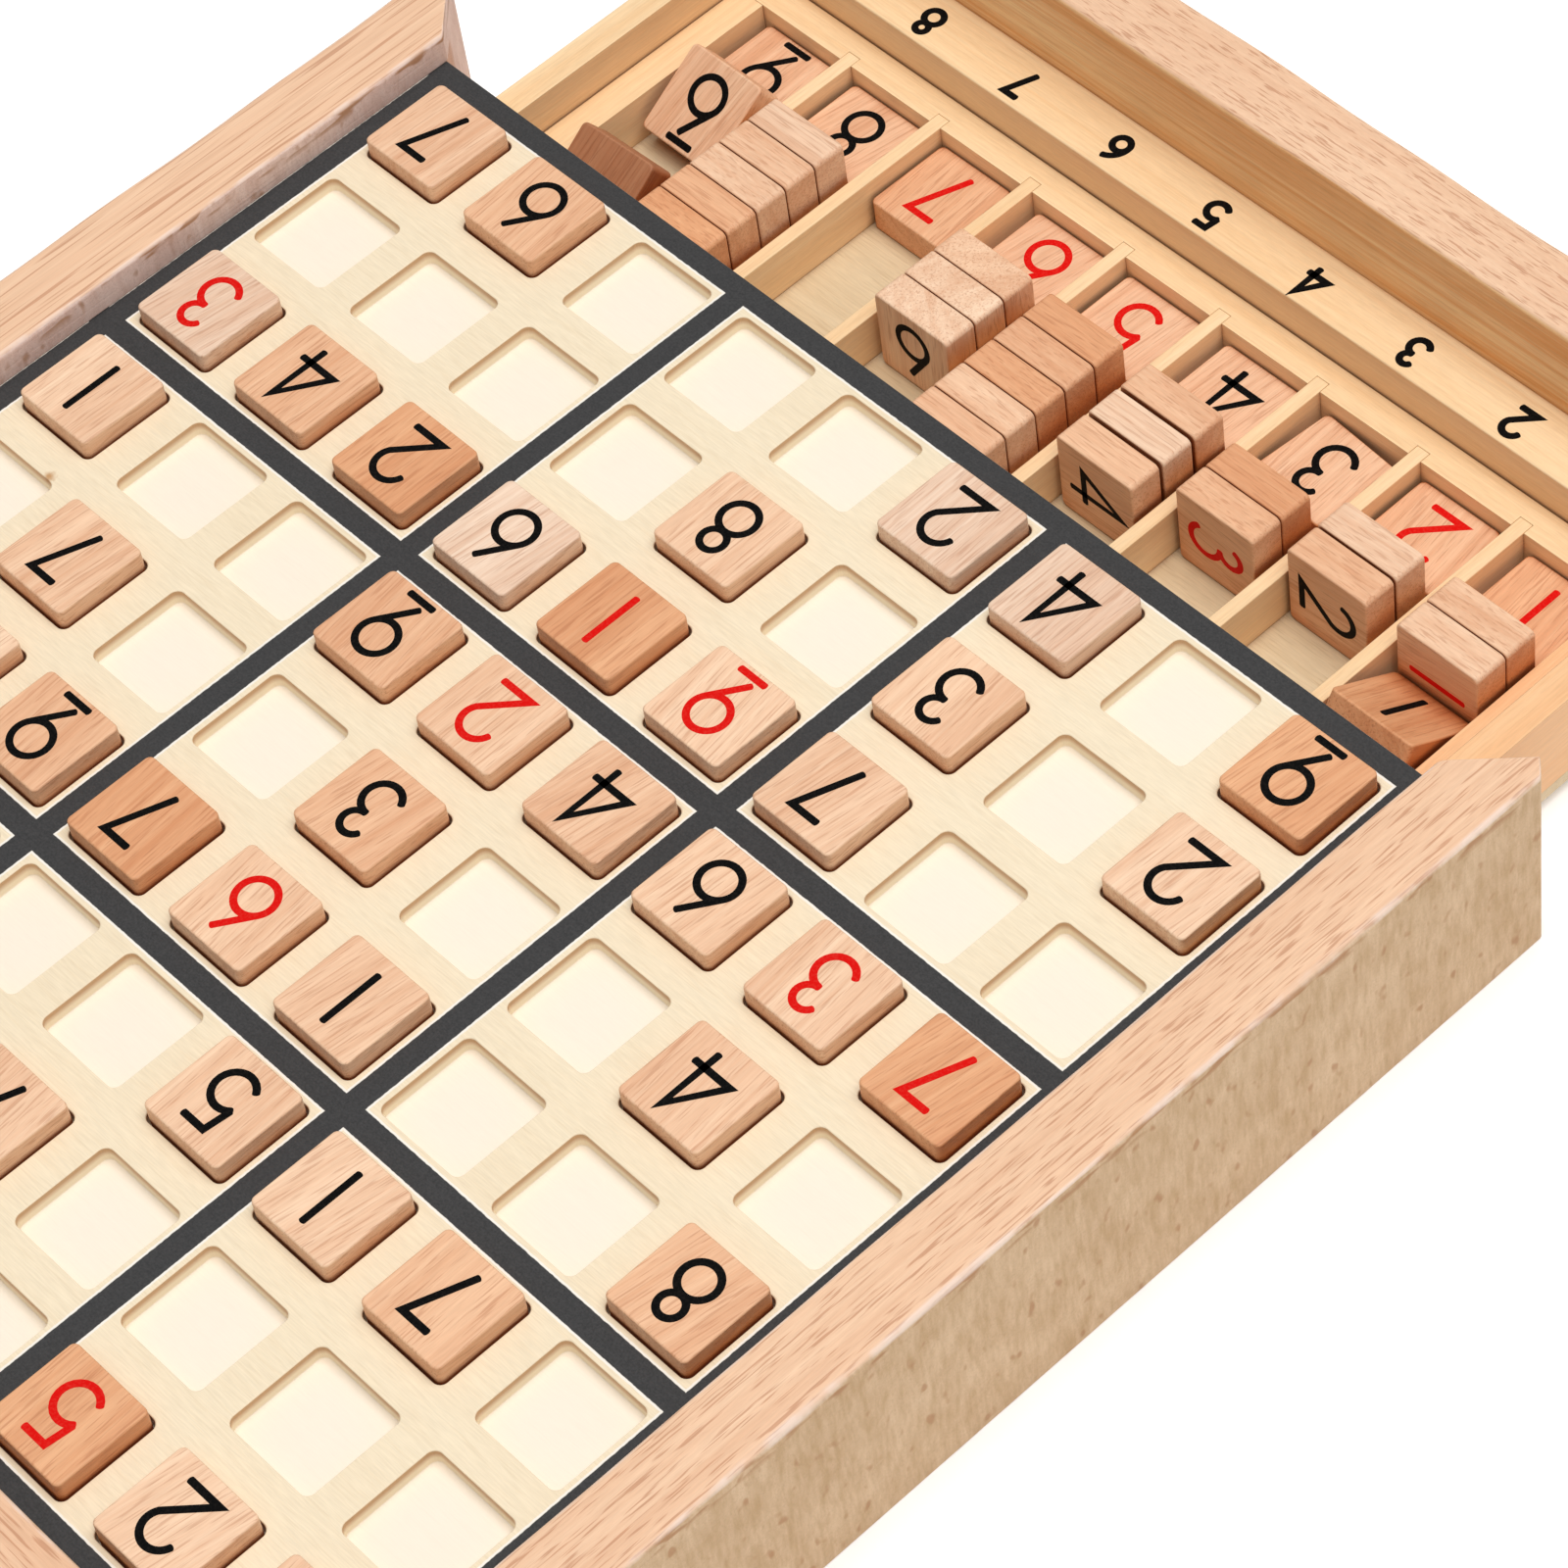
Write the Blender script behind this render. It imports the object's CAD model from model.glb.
import math
import random

import bmesh
import bpy
from mathutils import Matrix, Vector


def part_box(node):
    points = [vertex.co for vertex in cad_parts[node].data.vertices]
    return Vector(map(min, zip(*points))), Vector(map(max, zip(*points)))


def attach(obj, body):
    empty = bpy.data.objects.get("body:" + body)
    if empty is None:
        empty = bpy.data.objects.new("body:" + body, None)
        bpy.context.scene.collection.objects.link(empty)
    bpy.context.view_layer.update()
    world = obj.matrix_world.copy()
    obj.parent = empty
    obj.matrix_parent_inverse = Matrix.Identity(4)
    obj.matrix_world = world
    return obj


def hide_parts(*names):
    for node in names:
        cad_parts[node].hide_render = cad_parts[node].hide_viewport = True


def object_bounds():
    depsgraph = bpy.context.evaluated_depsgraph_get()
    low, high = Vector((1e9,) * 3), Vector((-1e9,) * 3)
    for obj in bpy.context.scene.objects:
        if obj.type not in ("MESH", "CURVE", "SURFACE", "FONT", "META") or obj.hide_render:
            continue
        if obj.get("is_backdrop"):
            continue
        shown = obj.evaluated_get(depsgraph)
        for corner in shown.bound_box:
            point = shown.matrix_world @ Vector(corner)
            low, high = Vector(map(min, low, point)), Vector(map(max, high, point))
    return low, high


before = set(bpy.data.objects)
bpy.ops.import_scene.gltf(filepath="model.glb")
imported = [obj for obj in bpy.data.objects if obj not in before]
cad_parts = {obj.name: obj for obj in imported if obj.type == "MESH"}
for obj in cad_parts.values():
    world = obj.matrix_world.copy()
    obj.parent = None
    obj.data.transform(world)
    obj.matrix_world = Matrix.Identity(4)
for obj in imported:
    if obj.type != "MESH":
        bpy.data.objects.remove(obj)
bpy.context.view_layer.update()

# Base panel: a thin sheet of plain wood let into a rebate on the underside of the rails. It carries
# the drawer, and only its edge at the drawer opening and its underside can be seen.
mm = 0.001


def node(tree, kind, sockets=None, **settings):
    """Adds a shader node; a socket value that is itself a socket is linked."""
    made = tree.nodes.new(kind)
    for name, value in settings.items():
        setattr(made, name, value)
    for key, value in (sockets or {}).items():
        if isinstance(value, bpy.types.NodeSocket):
            tree.links.new(value, made.inputs[key])
        else:
            made.inputs[key].default_value = value
    return made


def maths(tree, operation, first, second=0.0):
    return node(tree, "ShaderNodeMath", {0: first, 1: second}, operation=operation).outputs[0]


def span(tree, value, low, high, start=0.0, end=1.0):
    """The value stretched from low..high to start..end, held at both ends."""
    ends = {"Value": value, "From Min": low, "From Max": high, "To Min": start, "To Max": end}
    return node(tree, "ShaderNodeMapRange", ends).outputs[0]


def stretched(tree, place, along, across, deep):
    """A place scaled to waves per metre along the grain, across it and into it."""
    sockets = {0: place, 1: (along, across, deep)}
    return node(tree, "ShaderNodeVectorMath", sockets, operation="MULTIPLY").outputs[0]


def noise(tree, place, detail=2.0, roughness=0.5, distortion=0.0):
    sockets = {"Vector": place, "Scale": 1.0, "Detail": detail}
    sockets.update({"Roughness": roughness, "Distortion": distortion})
    return node(tree, "ShaderNodeTexNoise", sockets).outputs[0]


def mixed(tree, share, first, second, blend="MIX"):
    sockets = {0: share, 6: first, 7: second}
    return node(tree, "ShaderNodeMix", sockets, data_type="RGBA", blend_type=blend).outputs[2]


def shader_group(name, takes, gives):
    """A new node group from the names and kinds of its sockets, with its inner ends."""
    tree = bpy.data.node_groups.new(name, "ShaderNodeTree")
    for label, kind in takes.items():
        tree.interface.new_socket(label, in_out="INPUT", socket_type=f"NodeSocket{kind}")
    for label, kind in gives.items():
        tree.interface.new_socket(label, in_out="OUTPUT", socket_type=f"NodeSocket{kind}")
    return tree, tree.nodes.new("NodeGroupInput").outputs, tree.nodes.new("NodeGroupOutput").inputs


# Planed wood: long lines along the grain, broad bands of tone, fine fibre and short dark flecks.
# Place runs along the grain in X, in metres.
planed_wood, takes, gives = shader_group(
    "planed_wood",
    {
        "Place": "Vector", "Pale": "Color", "Deep": "Color", "Fleck": "Color",
        "Fleck Share": "Float", "Contrast": "Float",
    },
    {"Color": "Color", "Roughness": "Float", "Height": "Float"},
)
where = takes["Place"]
lines = noise(planed_wood, stretched(planed_wood, where, 7, 420, 130), 4, roughness=0.6, distortion=0.25)
bands = noise(planed_wood, stretched(planed_wood, where, 5, 55, 40), 2, distortion=0.4)
fine = noise(planed_wood, stretched(planed_wood, where, 16, 1300, 1300), 2, distortion=0.2)
fibre = noise(planed_wood, stretched(planed_wood, where, 240, 3200, 3200), 2, roughness=0.6)
spots = noise(planed_wood, stretched(planed_wood, where, 130, 2400, 2400), 1)
figure = 0.0
for layer, share in ((lines, 0.45), (bands, 0.3), (fine, 0.25)):
    figure = maths(planed_wood, "ADD", figure, maths(planed_wood, "MULTIPLY", layer, share))
figure = maths(planed_wood, "MULTIPLY", span(planed_wood, figure, 0.38, 0.62), takes["Contrast"])
fleck = maths(planed_wood, "MULTIPLY", span(planed_wood, spots, 0.565, 0.66), takes["Fleck Share"])
colour = mixed(planed_wood, figure, takes["Pale"], takes["Deep"])
colour = mixed(planed_wood, fleck, colour, takes["Fleck"])
shade = span(planed_wood, fibre, 0.3, 0.7, 0.94, 1.05)
shade = node(planed_wood, "ShaderNodeCombineColor", {0: shade, 1: shade, 2: shade}).outputs[0]
planed_wood.links.new(mixed(planed_wood, 1.0, colour, shade, "MULTIPLY"), gives["Color"])
planed_wood.links.new(span(planed_wood, fibre, 0.3, 0.7, 0.44, 0.62), gives["Roughness"])
relief = maths(planed_wood, "SUBTRACT", maths(planed_wood, "ADD", lines, fibre), fleck)
planed_wood.links.new(relief, gives["Height"])

# Worn edge: where a surface turns sharply, the wood is rubbed paler in an uneven line. Crevice marks
# narrow gaps and inner corners, where the wood has darkened.
worn_reach = 0.6 * mm
worn_share = 0.55
rubbed_paler = 1.12
crevice_reach = 2 * mm
crevice_brown = (0.42, 0.24, 0.13, 1)
worn_edge, takes, gives = shader_group(
    "worn_edge", {"Place": "Vector", "Reach": "Float"}, {"Mask": "Float", "Crevice": "Float"}
)
rounded = node(worn_edge, "ShaderNodeBevel", {"Radius": takes["Reach"]}, samples=4).outputs[0]
true_normal = node(worn_edge, "ShaderNodeNewGeometry").outputs["True Normal"]
facing = node(worn_edge, "ShaderNodeVectorMath", {0: rounded, 1: true_normal}, operation="DOT_PRODUCT")
turned = span(worn_edge, facing.outputs["Value"], 0.995, 0.9)
patches = noise(worn_edge, stretched(worn_edge, takes["Place"], 160, 160, 160), 3)
patchy = span(worn_edge, patches, 0.35, 0.6)
worn_edge.links.new(maths(worn_edge, "MULTIPLY", turned, patchy), gives["Mask"])
open_sky = node(worn_edge, "ShaderNodeAmbientOcclusion", {"Distance": crevice_reach}, samples=6)
worn_edge.links.new(span(worn_edge, open_sky.outputs["AO"], 0.75, 0.3), gives["Crevice"])
grain_depth = 0.1 * mm


def wood_material(name, place, pale, deep, fleck, fleck_share=0.5, contrast=1.0, bump=0.35, grime=0.6):
    """A planed, rubbed wood. place(tree) gives the coordinates along the grain."""
    made = bpy.data.materials.new(name)
    made.use_nodes = True
    tree = made.node_tree
    shader = tree.nodes["Principled BSDF"]
    where = place(tree)
    sockets = {"Place": where, "Pale": (*pale, 1), "Deep": (*deep, 1), "Fleck": (*fleck, 1)}
    sockets.update({"Fleck Share": fleck_share, "Contrast": contrast})
    wood = node(tree, "ShaderNodeGroup", sockets, node_tree=planed_wood).outputs
    sockets = {"Place": where, "Reach": worn_reach}
    edge = node(tree, "ShaderNodeGroup", sockets, node_tree=worn_edge).outputs
    rubbed = [min(1.0, rubbed_paler * part) for part in pale]
    colour = mixed(tree, maths(tree, "MULTIPLY", edge["Mask"], worn_share), wood["Color"], (*rubbed, 1))
    dirt = maths(tree, "MULTIPLY", edge["Crevice"], grime)
    tree.links.new(mixed(tree, dirt, colour, crevice_brown, "MULTIPLY"), shader.inputs["Base Color"])
    tree.links.new(wood["Roughness"], shader.inputs["Roughness"])
    raised = {"Height": wood["Height"], "Strength": bump, "Distance": grain_depth}
    tree.links.new(node(tree, "ShaderNodeBump", raised).outputs[0], shader.inputs["Normal"])
    shader.inputs["Specular IOR Level"].default_value = 0.3
    return made


def grain(order):
    """The part's own coordinates in the order given: along the grain, across it, and deep."""

    def place(tree):
        own = node(tree, "ShaderNodeTexCoord").outputs["Object"]
        parts = node(tree, "ShaderNodeSeparateXYZ", {0: own}).outputs
        swapped = {new: parts[old] for new, old in zip("XYZ", order)}
        return node(tree, "ShaderNodeCombineXYZ", swapped).outputs[0]

    return place


def ease_edges(piece, width, segments, sharp):
    """Rounds the edges of a piece that turn by more than an angle in degrees."""
    bevel = piece.modifiers.new("ease", "BEVEL")
    bevel.width = width
    bevel.segments = segments
    bevel.limit_method = "ANGLE"
    bevel.angle_limit = math.radians(sharp)
    bevel.harden_normals = True


weld_reach = 0.005 * mm


def dress(name, material, ease):
    """Gives a sawn board its finish, and eases its edges by a width."""
    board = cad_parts[name]
    for held in board.material_slots:
        held.material = material
    weld = board.modifiers.new("weld", "WELD")
    weld.merge_threshold = weld_reach
    ease_edges(board, ease, 2, 40)


sheet_ease = 0.2 * mm
sheet_wood = wood_material("sheet_wood", grain("XYZ"), pale=(0.77, 0.62, 0.41), deep=(0.68, 0.52, 0.32),
                           fleck=(0.5, 0.34, 0.18), fleck_share=0.25, contrast=0.8)
dress("base_panel", sheet_wood, sheet_ease)

# Board panel: one piece of pale wood let into grooves in the rails, with 81 pockets routed into it.
# Dark bands are painted round each block of nine pockets, with a thin bare line along their edges.
panel_low, panel_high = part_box("board_panel")
rail_low, rail_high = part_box("right_rail")
tile_low, tile_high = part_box("tile_row1_col1")
cells = 9
half = rail_low.x
board_top = panel_high.z
first_tile = (tile_low + tile_high) / 2
cell_pitch = -2 * first_tile.x / (cells - 1)
tile_side = tile_high.x - tile_low.x
tile_gap = 0.5 * mm
tile_corner = 1.2 * mm
pocket_floor = tile_low.z
band_w = 2 * half - cells * cell_pitch
bare_line = 0.5 * mm
paint_blur = 0.05 * mm
paint_skin = 0.1 * mm
band_dark, band_grey = (0.036, 0.036, 0.037, 1), (0.056, 0.055, 0.056, 1)
line_pale = (0.96, 0.95, 0.92, 1)
floor_pale = (0.97, 0.90, 0.80, 1)
floor_fade = 0.3 * mm
wall_pale, rim_brown = (0.97, 0.84, 0.62, 1), (0.66, 0.42, 0.23, 1)
wall_foot, rim_depth = 1.2 * mm, 0.9 * mm
knot_place = Vector((104.3 * mm, -11 * mm, board_top))
knot_r = 1.5 * mm
knot_wobble = 0.4 * mm
knot_brown = (0.50, 0.22, 0.05, 1)
panel_ease = 0.3 * mm


def soft_square(side, corner, steps=6):
    """Points round a square with round corners, from the upper end of its right side."""
    flat = side / 2 - corner
    points = []
    for turn, (x, y) in enumerate([(flat, flat), (-flat, flat), (-flat, -flat), (flat, -flat)]):
        for step in range(steps + 1):
            angle = math.pi / 2 * (turn + step / steps)
            points.append((x + corner * math.cos(angle), y + corner * math.sin(angle)))
    return points


def finished_object(name, mesh, *materials):
    made = bpy.data.objects.new(name, mesh)
    bpy.context.scene.collection.objects.link(made)
    for material in materials:
        mesh.materials.append(material)
    return made


def panel_mesh():
    """A plate whose top is a grid of cells, each with a pocket let down to its floor."""
    bm = bmesh.new()
    rim = soft_square(tile_side + 2 * tile_gap, tile_corner + tile_gap)
    count = len(rim)
    quarter = count // 4
    edges_x = [panel_low.x] + [(i - cells / 2) * cell_pitch for i in range(cells + 1)] + [panel_high.x]
    edges_y = [panel_low.y] + [(i - cells / 2) * cell_pitch for i in range(cells + 1)] + [panel_high.y]
    grid = [[bm.verts.new((x, y, board_top)) for y in edges_y] for x in edges_x]
    last = cells + 1
    for i in range(cells + 2):
        for j in range(cells + 2):
            square = [grid[i][j], grid[i + 1][j], grid[i + 1][j + 1], grid[i][j + 1]]
            if i in (0, last) or j in (0, last):
                bm.faces.new(square)
                continue
            x = (edges_x[i] + edges_x[i + 1]) / 2
            y = (edges_y[j] + edges_y[j + 1]) / 2
            upper = [bm.verts.new((x + u, y + v, board_top)) for u, v in rim]
            lower = [bm.verts.new((x + u, y + v, pocket_floor)) for u, v in rim]
            corners = [square[2], square[3], square[0], square[1]]
            for k in range(count):
                after = (k + 1) % count
                bm.faces.new([upper[after], upper[k], lower[k], lower[after]])
                side = k // quarter
                if k % quarter == quarter - 1:
                    bm.faces.new([corners[side], corners[(side + 1) % 4], upper[after], upper[k]])
                else:
                    bm.faces.new([corners[side], upper[after], upper[k]])
            bm.faces.new(lower)
    outline = [grid[i][0] for i in range(last + 2)] + [grid[-1][j] for j in range(1, last + 2)]
    outline += [grid[i][-1] for i in range(last, -1, -1)] + [grid[0][j] for j in range(last, 0, -1)]
    under = [bm.verts.new((v.co.x, v.co.y, panel_low.z)) for v in outline]
    for k, vert in enumerate(outline):
        after = (k + 1) % len(outline)
        bm.faces.new([outline[after], vert, under[k], under[after]])
    bm.faces.new(under[::-1])
    bmesh.ops.recalc_face_normals(bm, faces=bm.faces)
    mesh = bpy.data.meshes.new("board_panel_wood")
    bm.to_mesh(mesh)
    bm.free()
    return mesh


def painted_panel():
    """Bare wood with painted bands, paler pocket floors, browned routed walls and one knot."""
    made = wood_material("painted_panel", grain("XYZ"), pale=(0.91, 0.78, 0.575), deep=(0.86, 0.71, 0.50),
                         fleck=(0.70, 0.52, 0.30), fleck_share=0.12, contrast=0.5, bump=0.2, grime=0.2)
    tree = made.node_tree
    shader = tree.nodes["Principled BSDF"]
    bare = shader.inputs["Base Color"].links[0].from_socket
    own = node(tree, "ShaderNodeTexCoord").outputs["Object"]
    parts = node(tree, "ShaderNodeSeparateXYZ", {0: own}).outputs
    block = 3 * cell_pitch
    away = []
    for axis in "XY":
        turn = maths(tree, "FRACT", maths(tree, "DIVIDE", parts[axis], block))
        folded = maths(tree, "ABSOLUTE", maths(tree, "SUBTRACT", turn, 0.5))
        away.append(maths(tree, "MULTIPLY", folded, block))
    near = maths(tree, "MINIMUM", away[0], away[1])
    on_top = span(tree, parts["Z"], board_top - 2 * paint_skin, board_top - paint_skin)
    wobble = noise(tree, stretched(tree, own, 900, 900, 900), 2)
    near = maths(tree, "ADD", near, span(tree, wobble, 0.3, 0.7, -paint_blur, paint_blur))
    paint = span(tree, near, band_w / 2 + paint_blur, band_w / 2 - paint_blur)
    line = span(tree, near, band_w / 2 + bare_line, band_w / 2 + 0.7 * bare_line)
    floor = span(tree, parts["Z"], pocket_floor + floor_fade, pocket_floor)
    pale = mixed(tree, maths(tree, "MULTIPLY", floor, 0.7), bare, floor_pale)
    upright = node(tree, "ShaderNodeSeparateXYZ", {0: node(tree, "ShaderNodeTexCoord").outputs["Normal"]})
    wall = span(tree, maths(tree, "ABSOLUTE", upright.outputs["Z"]), 0.5, 0.2)
    high = span(tree, parts["Z"], pocket_floor + wall_foot, board_top - rim_depth)
    pale = mixed(tree, wall, pale, mixed(tree, high, wall_pale, rim_brown))
    spot = node(tree, "ShaderNodeVectorMath", {0: own, 1: knot_place}, operation="DISTANCE")
    ragged = span(tree, wobble, 0.3, 0.7, -knot_wobble, knot_wobble)
    from_knot = maths(tree, "ADD", spot.outputs["Value"], ragged)
    knot = maths(tree, "MULTIPLY", span(tree, from_knot, knot_r, 0.2 * knot_r), 0.8)
    pale = mixed(tree, knot, pale, knot_brown)
    line = maths(tree, "MULTIPLY", maths(tree, "MULTIPLY", line, on_top), 0.7)
    pale = mixed(tree, line, pale, line_pale)
    speckle = noise(tree, stretched(tree, own, 2600, 2600, 2600), 3)
    dark = mixed(tree, span(tree, speckle, 0.3, 0.7), band_dark, band_grey)
    cover = maths(tree, "MULTIPLY", paint, on_top)
    tree.links.new(mixed(tree, cover, pale, dark), shader.inputs["Base Color"])
    sheen = shader.inputs["Roughness"].links[0].from_socket
    sheen = maths(tree, "ADD", sheen, maths(tree, "MULTIPLY", cover, 0.25))
    tree.links.new(sheen, shader.inputs["Roughness"])
    return made


panel = finished_object("board_panel_wood", panel_mesh(), painted_panel())
ease_edges(panel, panel_ease, 3, 50)
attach(panel, "case")
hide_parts("board_panel")

# Rails: beech bars mitred at the rear corners, with open mitres and blunt tips at the drawer. Their
# top edges are eased by hand, so the rounding wanders a little along the length.
rail_w = rail_high.x - rail_low.x
rail_h = rail_high.z
mitre = rail_high.x
corner_cut = 2 * (mitre - rail_high.y)
crease = rail_w - corner_cut / 2
groove = panel_high.x - half
base_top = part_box("base_panel")[1].z
outer_ease, outer_wander = 1.5 * mm, 0.7 * mm
inner_ease, inner_wander = 1.1 * mm, 0.3 * mm
long_wave, short_wave = 17 * mm, 6.1 * mm
sections = 90
arc_steps = 5
speck_brown = (0.44, 0.20, 0.075, 1)
rubbed_pale = (0.97, 0.82, 0.74, 1)
dash_top, dash_foot = 2 * mm, 4 * mm
rail_ease = 0.35 * mm


def wander(y, phase):
    """A slow uneven wave along a rail, between -1 and 1."""
    return 0.6 * math.sin(y / long_wave + phase) + 0.4 * math.sin(y / short_wave + 2.3 * phase)


def rail_end(x):
    """How far the wood at x from the inner face reaches, to the mitre or to the blunt tip."""
    return min(half + x, half + 2 * rail_w - corner_cut - x)


def rail_mesh(name, turn, shift, inner, phase, foot=0.0):
    """A rail swept along Y, then turned about Z. inner lists the points down its inner face."""
    bm = bmesh.new()
    rings = []
    quarter_turn = [math.pi / 2 * step / arc_steps for step in range(arc_steps + 1)]
    for s in range(sections + 1):
        share = 2 * s / sections - 1
        outer_r = outer_ease + outer_wander * wander(share * half, phase)
        inner_r = inner_ease + inner_wander * wander(share * half, phase + 2)
        ring = [(rail_w, foot)]
        for angle in quarter_turn:
            ring.append((rail_w - outer_r + outer_r * math.cos(angle),
                         rail_h - outer_r + outer_r * math.sin(angle)))
        ring.append((crease, rail_h))
        for angle in quarter_turn:
            ring.append((inner_r - inner_r * math.sin(angle),
                         rail_h - inner_r + inner_r * math.cos(angle)))
        ring += inner + [(crease, foot)]
        rings.append([bm.verts.new((half + x, share * rail_end(x), z)) for x, z in ring])
    count = len(rings[0])
    for near, far in zip(rings, rings[1:]):
        for k in range(count):
            after = (k + 1) % count
            bm.faces.new([near[k], near[after], far[after], far[k]])
    top = 1 + len(quarter_turn)
    for ring in (rings[0], rings[-1]):
        bm.faces.new([ring[-1]] + ring[:top + 1])
        bm.faces.new(ring[top:])
    bmesh.ops.recalc_face_normals(bm, faces=bm.faces)
    mesh = bpy.data.meshes.new(name)
    bm.to_mesh(mesh)
    bm.free()
    mesh.transform(Matrix.Translation(shift) @ Matrix.Rotation(turn, 4, "Z"))
    mesh.shade_smooth()
    mesh.set_sharp_from_angle(angle=math.radians(35))
    return mesh


def beech_rail(name, top_place, flank_pale, flank_deep, wear, flank_place):
    """Beech: fine flecks along the top. wear is the share of specks and of the pale rubbed edge."""
    made = wood_material(name, top_place, pale=(0.92, 0.62, 0.415), deep=(0.80, 0.48, 0.30),
                         fleck=(0.52, 0.23, 0.12), fleck_share=0.62, contrast=0.9)
    tree = made.node_tree
    shader = tree.nodes["Principled BSDF"]
    top_colour = shader.inputs["Base Color"].links[0].from_socket
    sockets = {"Place": flank_place(tree), "Pale": (*flank_pale, 1), "Deep": (*flank_deep, 1)}
    sockets.update({"Fleck": (0.40, 0.22, 0.11, 1), "Fleck Share": 0.15, "Contrast": 1.0})
    sawn = node(tree, "ShaderNodeGroup", sockets, node_tree=planed_wood).outputs["Color"]
    coordinates = node(tree, "ShaderNodeTexCoord").outputs
    specks = noise(tree, stretched(tree, coordinates["Object"], 340, 340, 210), 1)
    specks = span(tree, specks, 0.65, 0.75, 0.0, 0.8)
    dashes = noise(tree, stretched(tree, coordinates["Object"], 110, 110, 520), 1)
    height = node(tree, "ShaderNodeSeparateXYZ", {0: coordinates["Object"]}).outputs["Z"]
    near_top = span(tree, height, rail_h - dash_foot, rail_h - dash_top)
    dashes = maths(tree, "MULTIPLY", span(tree, dashes, 0.53, 0.61), near_top)
    specks = maths(tree, "MULTIPLY", maths(tree, "MAXIMUM", specks, dashes), wear)
    flank = mixed(tree, specks, sawn, speck_brown)
    up = node(tree, "ShaderNodeSeparateXYZ", {0: coordinates["Normal"]}).outputs["Z"]
    up = maths(tree, "ABSOLUTE", up)
    colour = mixed(tree, span(tree, up, 0.75, 0.45), top_colour, flank)
    eased = maths(tree, "MULTIPLY", span(tree, up, 0.97, 0.85), span(tree, up, 0.2, 0.45))
    rubbed = noise(tree, stretched(tree, coordinates["Object"], 130, 130, 130), 3)
    rubbed = span(tree, rubbed, 0.4, 0.6, 0.15 * wear, 0.75 * wear)
    eased = maths(tree, "MULTIPLY", eased, rubbed)
    tree.links.new(mixed(tree, eased, colour, rubbed_pale), shader.inputs["Base Color"])
    return made


def rail_piece(name, mesh, material, body, stands_for):
    """A rail with lightly broken corners, in place of its CAD node."""
    rail = finished_object(name, mesh, material)
    ease_edges(rail, rail_ease, 2, 42)
    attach(rail, body)
    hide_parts(stands_for)


grooved = [(0, board_top), (groove, board_top), (groove, panel_low.z), (0, panel_low.z)]
grooved += [(0, base_top), (groove, base_top), (groove, 0)]


def mottled(tree):
    """Short upright blotches, as where the saw cut across the rays of the wood."""
    return stretched(tree, grain("ZYX")(tree), 15, 0.9, 0.9)


rail_wear = 0.8
sawn_flank = ((0.74, 0.52, 0.32), (0.56, 0.355, 0.18), rail_wear, mottled)
pink_flank = ((0.95, 0.74, 0.66), (0.78, 0.55, 0.47), rail_wear, mottled)


def long_grain(tree):
    """Long flowing lines, as on the rail beside the ninth column."""
    return stretched(tree, grain("YXZ")(tree), 0.3, 0.8, 0.8)


left_beech = beech_rail("left_rail_beech", grain("YXZ"), *sawn_flank)
right_beech = beech_rail("right_rail_beech", long_grain, *pink_flank)
rear_beech = beech_rail("rear_rail_beech", grain("XYZ"), *sawn_flank)
for name, degrees, material, phase in [
    ("right_rail", 0, right_beech, 0.4),
    ("rear_rail", 90, rear_beech, 1.7),
    ("left_rail", 180, left_beech, 3.1),
]:
    mesh = rail_mesh(f"{name}_wood", math.radians(degrees), Vector(), grooved, phase)
    rail_piece(f"{name}_wood", mesh, material, "case", name)

# Drawer front: the fourth rail of the frame, with mitred ends that close against the side rails. It
# is glued to the number strip and the drawer bottom, and stays just clear of the table.
front_low, front_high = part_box("drawer_front")


def short_grain(tree):
    """Shorter and finer flecks than on the other rails."""
    return stretched(tree, grain("XYZ")(tree), 1.8, 1.2, 1.2)


unworn = 0.0
front_flank = ((1.0, 0.71, 0.38), (0.80, 0.37, 0.12), unworn, grain("XZY"))
front_beech = beech_rail("drawer_front_beech", short_grain, *front_flank)
front_shift = Vector((0, front_high.y + half, 0))
plain = [(0, front_low.z)]
mesh = rail_mesh("drawer_front_wood", math.radians(-90), front_shift, plain, 4.4, front_low.z)
rail_piece("drawer_front_wood", mesh, front_beech, "drawer", "drawer_front")

# Drawer box: planed pine sides, back and number strip, glued together on a thin bottom of pale sheet
# wood. The sides run between the rails of the case, and the left one is of a warmer pine.
board_ease = 0.4 * mm
flecks = {"fleck": (0.60, 0.35, 0.16), "fleck_share": 0.1, "contrast": 0.9}
pale_pine = {"pale": (0.97, 0.72, 0.44), "deep": (0.88, 0.58, 0.31), **flecks}
red_pine = {"pale": (0.96, 0.60, 0.335), "deep": (0.87, 0.48, 0.235), **flecks}
cross_pine = wood_material("cross_pine", grain("XYZ"), **pale_pine)
long_pine = wood_material("long_pine", grain("YXZ"), **pale_pine)
warm_pine = wood_material("warm_pine", grain("YXZ"), **red_pine)
dress("number_strip", cross_pine, board_ease)
dress("drawer_back", cross_pine, board_ease)
dress("drawer_left_side", warm_pine, board_ease)
dress("drawer_right_side", long_pine, board_ease)
dress("drawer_bottom", sheet_wood, sheet_ease)

# Tray: four pine rails that line the drawer, with eight thin dividers let into slots in the front
# and back rails. The dividers lie flush with the tops of the rails.
slat_ease = 0.25 * mm
for name in ("tray_front_rail", "tray_back_rail"):
    dress(name, cross_pine, slat_ease)
for name in ("tray_right_rail", "tray_dividers"):
    dress(name, long_pine, slat_ease)
dress("tray_left_rail", warm_pine, slat_ease)

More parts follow.
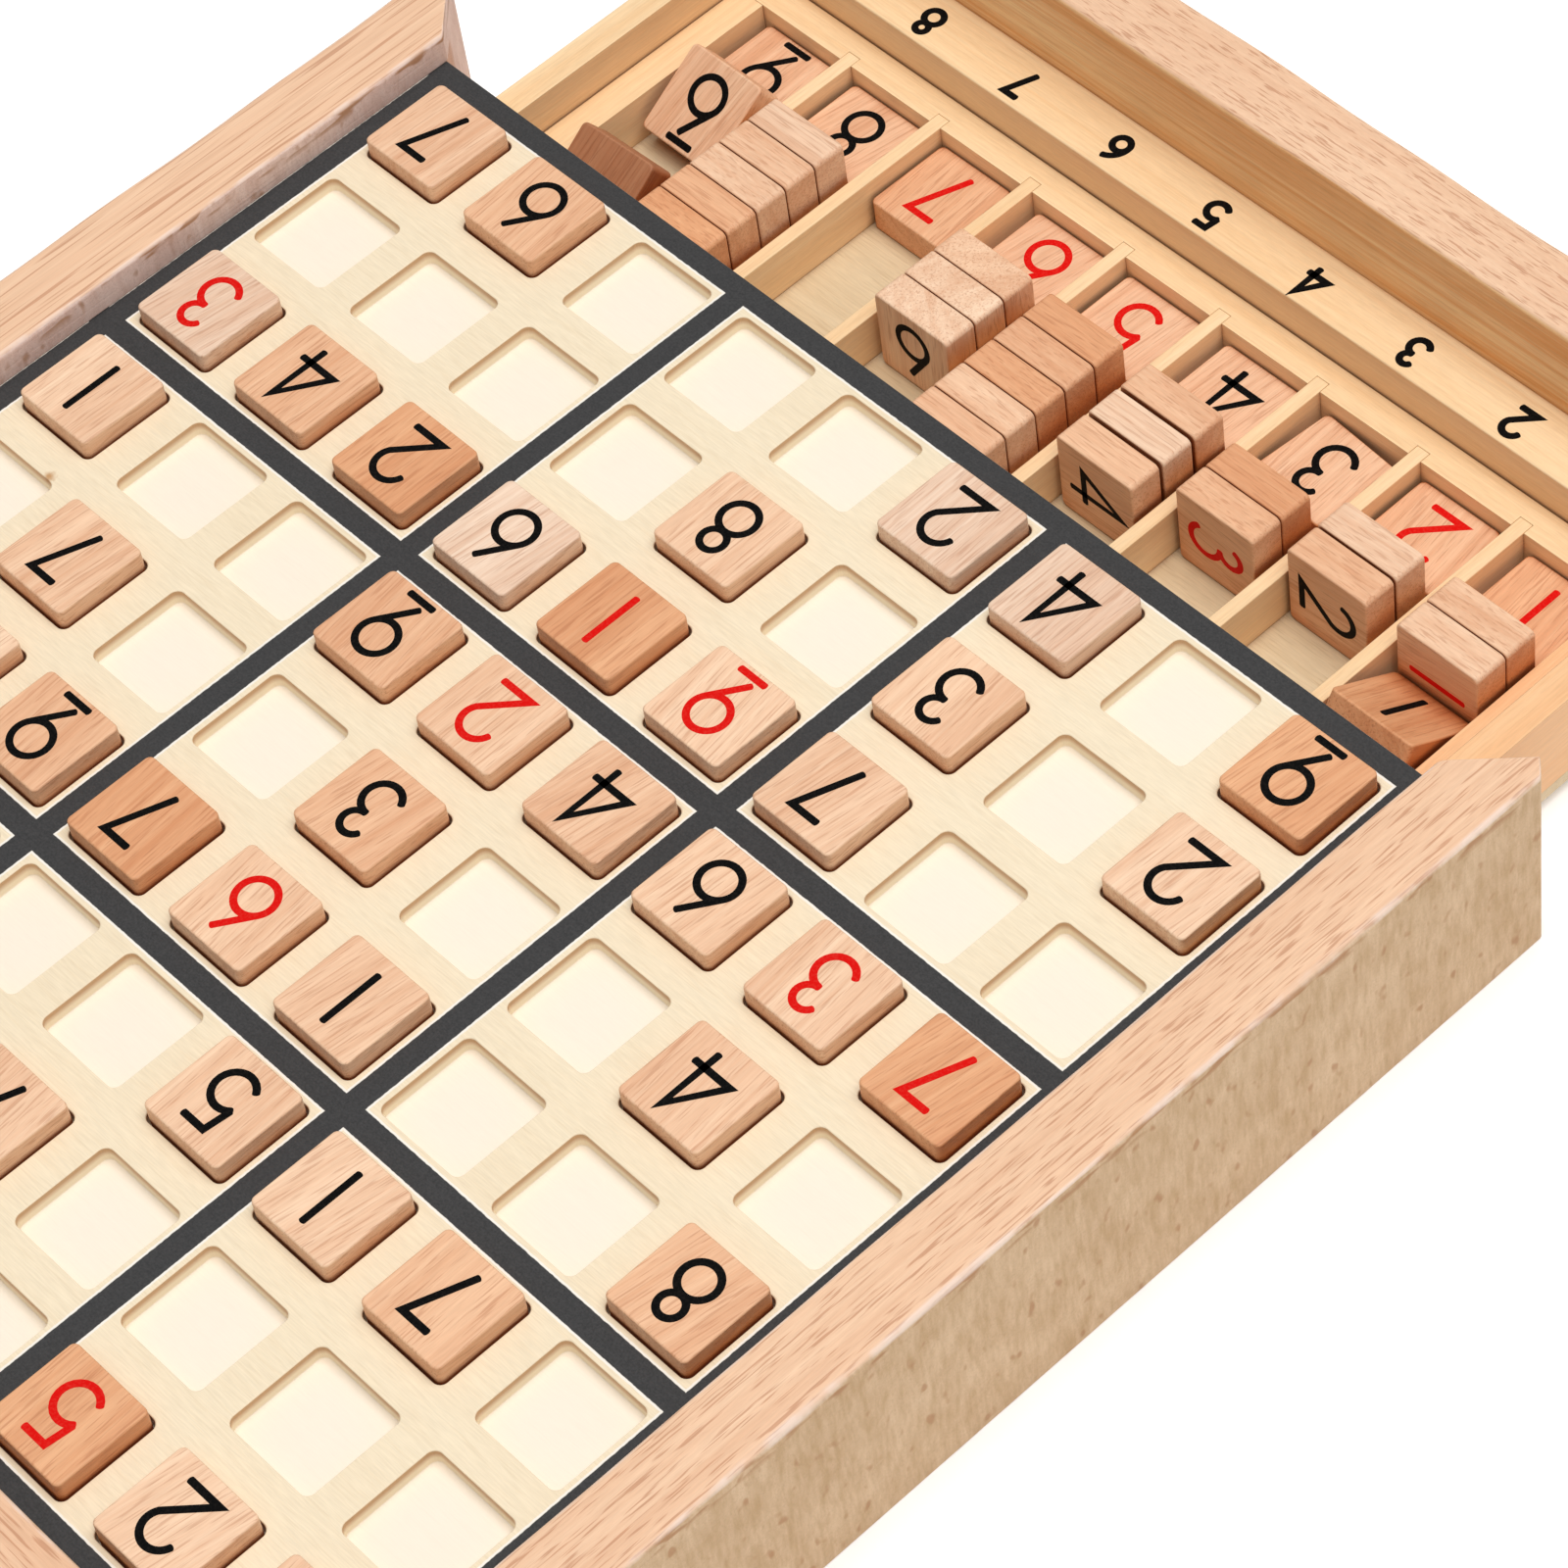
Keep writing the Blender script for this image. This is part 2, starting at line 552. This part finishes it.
# Number print: each digit is screen printed in black or red ink, a thin film of even strokes. The
# digits on the number strip are smaller and heavier, with curved stems on the six and the nine.
ink_film = 0.04 * mm
ink_root = 0.05 * mm
ink_step = 0.004 * mm
mitre_limit = 0.35
cap_turns = [math.radians(degrees) for degrees in (35, 65, 85)]


def arc(x, y, radius, start, end, steps=20):
    """Points on an arc from start to end, in degrees."""
    turns = [math.radians(start + (end - start) * step / steps) for step in range(steps + 1)]
    return [(x + radius * math.cos(turn), y + radius * math.sin(turn)) for turn in turns]


def six():
    """A round bowl with a straight stroke that leaves it along a tangent."""
    radius, low, end = 0.3, -0.19, (0.1, 0.5)
    away = math.hypot(end[0], end[1] - low)
    turn = math.atan2(end[1] - low, end[0]) + math.acos(radius / away)
    leaves = (radius * math.cos(turn), low + radius * math.sin(turn))
    return [(arc(0, low, radius, 0, 360, 40)[:-1], True), ([leaves, end], False)]


def turned_over(strokes):
    return [([(-x, -y) for x, y in points], closed) for points, closed in strokes]


# Strokes of each digit, one unit high about its middle; a closed stroke is a ring
strokes_of = {
    1: [([(0, -0.48), (0, 0.48)], False)],
    2: [(arc(0, 0.21, 0.28, 165, -32) + [(-0.27, -0.48), (0.29, -0.48)], False)],
    3: [
        (arc(-0.02, 0.28, 0.2, 155, -90), False),
        (arc(-0.02, -0.2, 0.28, 90, -155), False),
    ],
    4: [([(0.15, -0.5), (0.15, 0.5), (-0.33, -0.24), (0.33, -0.24)], False)],
    5: [
        ([(0.24, 0.46), (-0.16, 0.46), (-0.21, 0.05)], False),
        (arc(0, -0.18, 0.3, 135, -145), False),
    ],
    6: six(),
    7: [([(-0.24, 0.46), (0.24, 0.46), (-0.12, -0.5)], False)],
    8: [
        (arc(0, 0.28, 0.19, 0, 360, 32)[:-1], True),
        (arc(0, -0.2, 0.28, 0, 360, 40)[:-1], True),
    ],
    9: turned_over(six()) + [([(-0.24, -0.62), (0.24, -0.62)], False)],
}


def ribbon(points, closed, width):
    """The left and right edges of a stroke, mitred where it bends and blunt at its ends."""
    edges = []
    count = len(points)
    for k, point in enumerate(points):
        here = Vector(point)
        before = Vector(points[k - 1]) if closed or k > 0 else None
        after = Vector(points[(k + 1) % count]) if closed or k < count - 1 else None
        into = (here - before).normalized() if before else (after - here).normalized()
        out = (after - here).normalized() if after else into
        across = Vector((-into.y - out.y, into.x + out.x)).normalized()
        reach = width / 2 / max(mitre_limit, across.dot(Vector((-into.y, into.x))))
        edges.append((here + across * reach, here - across * reach))
    if closed:
        return edges
    for end, inner in ((0, 1), (-1, -2)):
        tip = Vector(points[end])
        out = (tip - Vector(points[inner])).normalized() * width / 2
        across = Vector((-out.y, out.x)) if end else Vector((out.y, -out.x))
        caps = []
        for turn in cap_turns:
            point = tip + out * math.sin(turn) / 2
            caps.append((point + across * math.cos(turn), point - across * math.cos(turn)))
        edges = edges + caps if end else caps[::-1] + edges
    return edges


def new_heap():
    """Loose geometry on its way to one mesh; each point has a place in its plank and a tone."""
    return {"verts": [], "faces": [], "slots": [], "place": [], "tone": []}


def print_digit(heap, seat, strokes, slot, height, stroke):
    """Lays a digit's ink on the plane z = 0 of the seat."""
    for layer, (points, closed) in enumerate(strokes):
        sized = [(x * height, y * height) for x, y in points]
        edges = ribbon(sized, closed, stroke)
        top = ink_film + ink_step * layer
        first = len(heap["verts"])
        for left, right in edges:
            for flat, level in ((left, top), (right, top), (left, -ink_root), (right, -ink_root)):
                heap["verts"].append(seat @ Vector((flat.x, flat.y, level)))
                heap["place"].append((flat.x, flat.y, 0))
                heap["tone"].append(0)
        count = len(edges)
        faces = []
        for k in range(count if closed else count - 1):
            a = first + 4 * k
            b = first + 4 * ((k + 1) % count)
            faces += [(a + 1, b + 1, b, a), (a + 2, b + 2, b + 3, a + 3)]
            faces += [(a, b, b + 2, a + 2), (b + 1, a + 1, a + 3, b + 3)]
        if not closed:
            end = first + 4 * (count - 1)
            faces += [(first, first + 2, first + 3, first + 1), (end + 1, end + 3, end + 2, end)]
        heap["faces"] += faces
        heap["slots"] += [slot] * len(faces)


def heap_object(heap, name, *materials):
    """One object from a heap, which keeps its wood places and tones as attributes."""
    mesh = bpy.data.meshes.new(name)
    mesh.from_pydata(heap["verts"], [], heap["faces"])
    mesh.polygons.foreach_set("material_index", heap["slots"])
    place = mesh.attributes.new("plank_place", "FLOAT_VECTOR", "POINT")
    place.data.foreach_set("vector", [part for point in heap["place"] for part in point])
    mesh.attributes.new("plank_tone", "FLOAT", "POINT").data.foreach_set("value", heap["tone"])
    mesh.shade_smooth()
    mesh.set_sharp_from_angle(angle=math.radians(50))
    return finished_object(name, mesh, *materials)


def ink(name, thick, thin):
    """Printing ink: an even film, a little thinner and duller in tiny specks."""
    made = bpy.data.materials.new(name)
    made.use_nodes = True
    tree = made.node_tree
    shader = tree.nodes["Principled BSDF"]
    own = node(tree, "ShaderNodeTexCoord").outputs["Object"]
    specks = noise(tree, stretched(tree, own, 2200, 2200, 2200), 3)
    colour = mixed(tree, span(tree, specks, 0.45, 0.75), (*thick, 1), (*thin, 1))
    tree.links.new(colour, shader.inputs["Base Color"])
    tree.links.new(span(tree, specks, 0.3, 0.7, 0.5, 0.7), shader.inputs["Roughness"])
    shader.inputs["Specular IOR Level"].default_value = 0.04
    return made


black_ink = ink("black_ink", (0.003, 0.003, 0.003), (0.012, 0.010, 0.009))
red_ink = ink("red_ink", (0.72, 0.006, 0.004), (0.74, 0.03, 0.02))

strip_low, strip_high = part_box("number_strip")
strip_digit_pitch = 25.5 * mm
strip_digit_h = 7 * mm
strip_stroke = 1.42 * mm
strip_shift = 1.1 * mm
strip_heap = new_heap()
round_six = [(arc(0, -0.22, 0.26, 0, 360, 40)[:-1], True), (arc(0.32, -0.18, 0.58, 180, 105), False)]
strip_strokes = {**strokes_of, 6: round_six, 9: turned_over(round_six)}
strip_middle = (strip_low.y + strip_high.y) / 2 + strip_shift
for digit, strokes in strip_strokes.items():
    spot = Vector(((digit - 5) * strip_digit_pitch, strip_middle, strip_high.z))
    print_digit(strip_heap, Matrix.Translation(spot), strokes, 0, strip_digit_h, strip_stroke)
strip_print = heap_object(strip_heap, "number_strip_print", black_ink)
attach(strip_print, "drawer")

# Number tiles: squares of beech sawn from many planks, tumbled until their edges are round, then
# printed on one face. They lie loose in the pockets.
tile_t = tile_high.z - tile_low.z
tile_round = 0.45 * mm
digit_h = 13 * mm
digit_stroke = 1.42 * mm
grain_skew = 0.15
plank_reach = 3.0
stain_tint, dark_tint, grey_tint = (0.86, 0.62, 0.45, 1), (0.58, 0.52, 0.52, 1), (0.90, 0.98, 1.12, 1)
shelter_reach = 14 * mm
shelter_tint = (0.76, 0.46, 0.22, 1)
draw = random.Random(7)


def add_tile(heap, seat, tone):
    """A tile whose printed face is the plane z = 0 of the seat, with the digit upright along y."""
    outline = soft_square(tile_side, tile_corner)
    turns = [math.pi / 2 * step / 4 for step in range(5)]
    levels = [(tile_round * (1 - math.sin(a)), -tile_t + tile_round * (1 - math.cos(a))) for a in turns]
    levels += [(tile_round * (1 - math.cos(a)), -tile_round + tile_round * math.sin(a)) for a in turns]
    sawn = Matrix.Rotation(draw.uniform(0, math.tau), 3, "X")
    sawn = sawn @ Matrix.Rotation(math.pi / 2 + draw.uniform(-grain_skew, grain_skew), 3, "Z")
    plank = Vector([draw.uniform(-plank_reach, plank_reach) for axis in range(3)])
    first = len(heap["verts"])
    count = len(outline)
    for inset, z in levels:
        shrink = 1 - 2 * inset / tile_side
        for x, y in outline:
            point = Vector((x * shrink, y * shrink, z))
            heap["verts"].append(seat @ point)
            heap["place"].append(sawn @ point + plank)
            heap["tone"].append(tone)
    faces = [tuple(range(first + count - 1, first - 1, -1))]
    for level in range(len(levels) - 1):
        low = first + level * count
        for k in range(count):
            after = (k + 1) % count
            faces.append((low + k, low + after, low + count + after, low + count + k))
    top = first + (len(levels) - 1) * count
    faces.append(tuple(range(top, top + count)))
    heap["faces"] += faces
    heap["slots"] += [0] * len(faces)


def tile_beech():
    """Beech that takes its grain and its tone from the tile: greyish, stained or dark."""

    def place(tree):
        return node(tree, "ShaderNodeAttribute", attribute_name="plank_place").outputs["Vector"]

    made = wood_material("tile_beech", place, pale=(0.985, 0.71, 0.50), deep=(0.80, 0.47, 0.29),
                         fleck=(0.56, 0.27, 0.15), fleck_share=0.45, bump=0.3, grime=0.95)
    tree = made.node_tree
    shader = tree.nodes["Principled BSDF"]
    pale = shader.inputs["Base Color"].links[0].from_socket
    tone = node(tree, "ShaderNodeAttribute", attribute_name="plank_tone").outputs["Fac"]
    stain = mixed(tree, 1.0, pale, stain_tint, "MULTIPLY")
    dark = mixed(tree, 1.0, stain, dark_tint, "MULTIPLY")
    grey = mixed(tree, 1.0, pale, grey_tint, "MULTIPLY")
    colour = mixed(tree, span(tree, tone, 0.0, 1.0), pale, stain)
    colour = mixed(tree, span(tree, tone, 1.0, 2.0), colour, dark)
    colour = mixed(tree, span(tree, tone, 0.0, -1.0), colour, grey)
    # Sides that stand close to other wood have stayed a warm brown
    open_sky = node(tree, "ShaderNodeAmbientOcclusion", {"Distance": shelter_reach}, samples=6)
    sheltered = span(tree, open_sky.outputs["AO"], 0.5, 0.2)
    colour = mixed(tree, sheltered, colour, shelter_tint, "MULTIPLY")
    tree.links.new(colour, shader.inputs["Base Color"])
    return made


tile_wood = tile_beech()


def tile_object(heap, name, body, stands_for):
    """Printed tiles that ride on a body in place of a node."""
    made = heap_object(heap, name, tile_wood, black_ink, red_ink)
    even = made.modifiers.new("even", "WEIGHTED_NORMAL")
    even.keep_sharp = True
    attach(made, body)
    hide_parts(stands_for)


# Spare tiles in the drawer: one lies at the front of each compartment and the others stand behind
# it, all of beech and loose. Some have slid down, and one lies across its neighbour.
black, red = 1, 2
bay_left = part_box("tray_left_rail")[1].x
bay_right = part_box("tray_right_rail")[0].x
red_lying = (1, 2, 5, 6, 7)
red_standing = (1, 3)
# How dark the tiles of each compartment are: greyish below 0, stained brown at 1 and dark at 2
lying_tones = (0.8, 0.55, 0.35, 0.3, 0.25, 0.3, 0.7, 0.4, 0.4)
standing_tones = (0.6, 0.4, 0.5, 0.1, 0.7, 0.0, 0.4, 0.4, 0.5)
standing_spread = 0.6
sloping_tones = {1: 1.2, 9: 0.35}
fallen_tone = 2.0
# Tiles show their print upwards where they lie, and to the rear where they stand
print_way = Vector((0, 0.6, 0.8))


def loose_tiles(name):
    """The middle and the three square axes of each tile of a node, thinnest first, front to back."""
    bm = bmesh.new()
    bm.from_mesh(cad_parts[name].data)
    bmesh.ops.remove_doubles(bm, verts=bm.verts, dist=0.001 * mm)
    seen = set()
    found = []
    for start in bm.faces:
        if start.index in seen:
            continue
        seen.add(start.index)
        island = [start]
        for face in island:
            for edge in face.edges:
                for other in edge.link_faces:
                    if other.index not in seen:
                        seen.add(other.index)
                        island.append(other)
        sides = []
        for face in island:
            for side in sides:
                if abs(side[0].dot(face.normal)) > 0.9999:
                    side[1] += face.calc_area()
                    break
            else:
                sides.append([face.normal.copy(), face.calc_area()])
        sides.sort(key=lambda side: -side[1])
        thin = sides[0][0]
        wide = next(side[0] for side in sides if abs(side[0].dot(thin)) < 0.01)
        axes = [thin, wide, thin.cross(wide)]
        middle = Vector()
        points = [vert.co for face in island for vert in face.verts]
        for axis in axes:
            reach = [point.dot(axis) for point in points]
            middle += axis * (min(reach) + max(reach)) / 2
        found.append((middle, axes))
    bm.free()
    return sorted(found, key=lambda tile: tile[0].y)


def nearest(axes, wanted):
    """The axis, or its opposite, that points most nearly as wanted."""
    best = max(axes, key=lambda axis: abs(axis.dot(wanted)))
    return best if best.dot(wanted) > 0 else -best


def tile_seat(middle, face, up):
    """The seat of a tile from its middle, the way its print faces and the way its digit stands."""
    right = up.cross(face)
    turn = Matrix((right, up, face)).transposed().to_4x4()
    return Matrix.Translation(middle + face * tile_t / 2) @ turn


def spare_group(name, body):
    """One object for the spare tiles of a node, each printed with its compartment's digit."""
    heap = new_heap()
    met = []
    for middle, axes in loose_tiles(name):
        digit = 1 + int((middle.x - bay_left) / ((bay_right - bay_left) / cells))
        met.append(digit)
        face = nearest(axes[:1], print_way)
        fallen = digit == cells and met.count(digit) == 3
        if fallen:
            face = -face
        lying = face.z > 0.99
        standing = abs(face.z) < 0.01
        colour = red if digit in (red_lying if lying else red_standing if standing else ()) else black
        wanted = Vector((0, 1, 0))
        if standing:
            wanted = Vector((0, 0, -1)) if digit == 6 else Vector((-1, 0, 0))
        elif not lying and digit == cells:
            wanted = Vector((0, -1, 0))
        seat = tile_seat(middle, face, nearest(axes[1:], wanted))
        tone = sloping_tones.get(digit, 0.0)
        if lying:
            tone = lying_tones[digit - 1]
        elif standing:
            tone = standing_tones[digit - 1] + draw.uniform(-standing_spread, standing_spread)
        add_tile(heap, seat, fallen_tone if fallen else tone)
        print_digit(heap, seat, strokes_of[digit], colour, digit_h, digit_stroke)
    tile_object(heap, f"{name}_beech", body, name)


for name in ("spare_tiles_1_to_3", "spare_tiles_4_to_6", "spare_tiles_7_to_9"):
    spare_group(name, name)
spare_group("spare_tile_under_board", "drawer")

# Tiles on the board: the same printed beech tiles, lying loose in their pockets. The rows below run
# from the drawer to the rear, where a point is an empty pocket. Most digits are black, a few are red.
rows = (
    "9.42...67",
    "2.3.8....",
    "..7916243",
    "736429..1",
    ".4..3..7.",
    "8..16795.",
    ".715.....",
    "....7....",
    "625......",
)
red_cells = ((3, 4), (3, 5), (3, 9), (4, 1), (4, 2), (4, 5), (6, 5), (9, 3))
dark_cells = ((1, 1), (3, 5), (3, 7), (4, 1), (6, 6), (9, 3))
tan_cells = ((1, 8), (3, 8), (4, 6), (5, 5), (6, 1), (6, 7), (7, 2))
grey_cells = ((1, 3), (1, 4), (3, 6), (3, 9))
toned_cells = ((dark_cells, 0.9), (tan_cells, 0.55), (grey_cells, -0.6))
plain_tones = (0.0, 0.25)
for row, digits in enumerate(rows, 1):
    for column, digit in enumerate(digits, 1):
        if digit == ".":
            continue
        name = f"tile_row{row}_col{column}"
        low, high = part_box(name)
        seat = Matrix.Translation(((low.x + high.x) / 2, (low.y + high.y) / 2, high.z))
        spot = (row, column)
        tone = draw.uniform(*plain_tones)
        for alike, shared_tone in toned_cells:
            if spot in alike:
                tone = shared_tone
        heap = new_heap()
        add_tile(heap, seat, tone)
        colour = red if spot in red_cells else black
        print_digit(heap, seat, strokes_of[int(digit)], colour, digit_h, digit_stroke)
        tile_object(heap, f"{name}_beech", name, name)

# Studio: a plain pale floor, an even white surround and one broad soft lamp high over the left rail.
# The camera stands where the photo was taken from, above the rear left corner of the board.
floor_reach = 4.0
floor_glow = 0.18
floor_mesh = bpy.data.meshes.new("floor")
quarters = [(-1, -1), (1, -1), (1, 1), (-1, 1)]
floor_corners = [(x * floor_reach, y * floor_reach, 0) for x, y in quarters]
floor_mesh.from_pydata(floor_corners, [], [(0, 1, 2, 3)])
floor_paint = bpy.data.materials.new("floor_paint")
floor_paint.use_nodes = True
tree = floor_paint.node_tree
cloud = noise(tree, stretched(tree, node(tree, "ShaderNodeTexCoord").outputs["Object"], 3, 3, 3), 2)
paint = tree.nodes["Principled BSDF"].inputs
tree.links.new(mixed(tree, cloud, (0.96, 0.96, 0.96, 1), (0.98, 0.98, 0.98, 1)), paint["Base Color"])
paint["Roughness"].default_value = 0.8
paint["Emission Color"].default_value = (1, 1, 1, 1)
paint["Emission Strength"].default_value = floor_glow
finished_object("floor", floor_mesh, floor_paint)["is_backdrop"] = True

world = bpy.data.worlds.new("surround")
bpy.context.scene.world = world
world.use_nodes = True
surround = world.node_tree.nodes["Background"].inputs
surround["Color"].default_value = (1, 1, 1, 1)
surround["Strength"].default_value = 0.32

lamp_place = Vector((-0.4, -0.2, 2.4))
lamp = bpy.data.lights.new("key_lamp", "AREA")
lamp.size = 2.0
lamp.energy = 53
lamp.color = (1.0, 0.99, 0.975)
key_lamp = bpy.data.objects.new("key_lamp", lamp)
key_lamp.location = lamp_place
key_lamp.rotation_euler = (-lamp_place).to_track_quat("-Z", "Y").to_euler()
bpy.context.scene.collection.objects.link(key_lamp)

camera = bpy.data.cameras.new("camera")
camera.lens = 131.12
camera.sensor_width = 36
viewpoint = bpy.data.objects.new("camera", camera)
viewpoint.location = (-0.5355, 0.2907, 0.8105)
viewpoint.rotation_euler = [math.radians(degrees) for degrees in (37.376, 6.029, -132.982)]
bpy.context.scene.collection.objects.link(viewpoint)
bpy.context.scene.camera = viewpoint
bpy.context.scene.view_settings.view_transform = "Standard"

low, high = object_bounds()
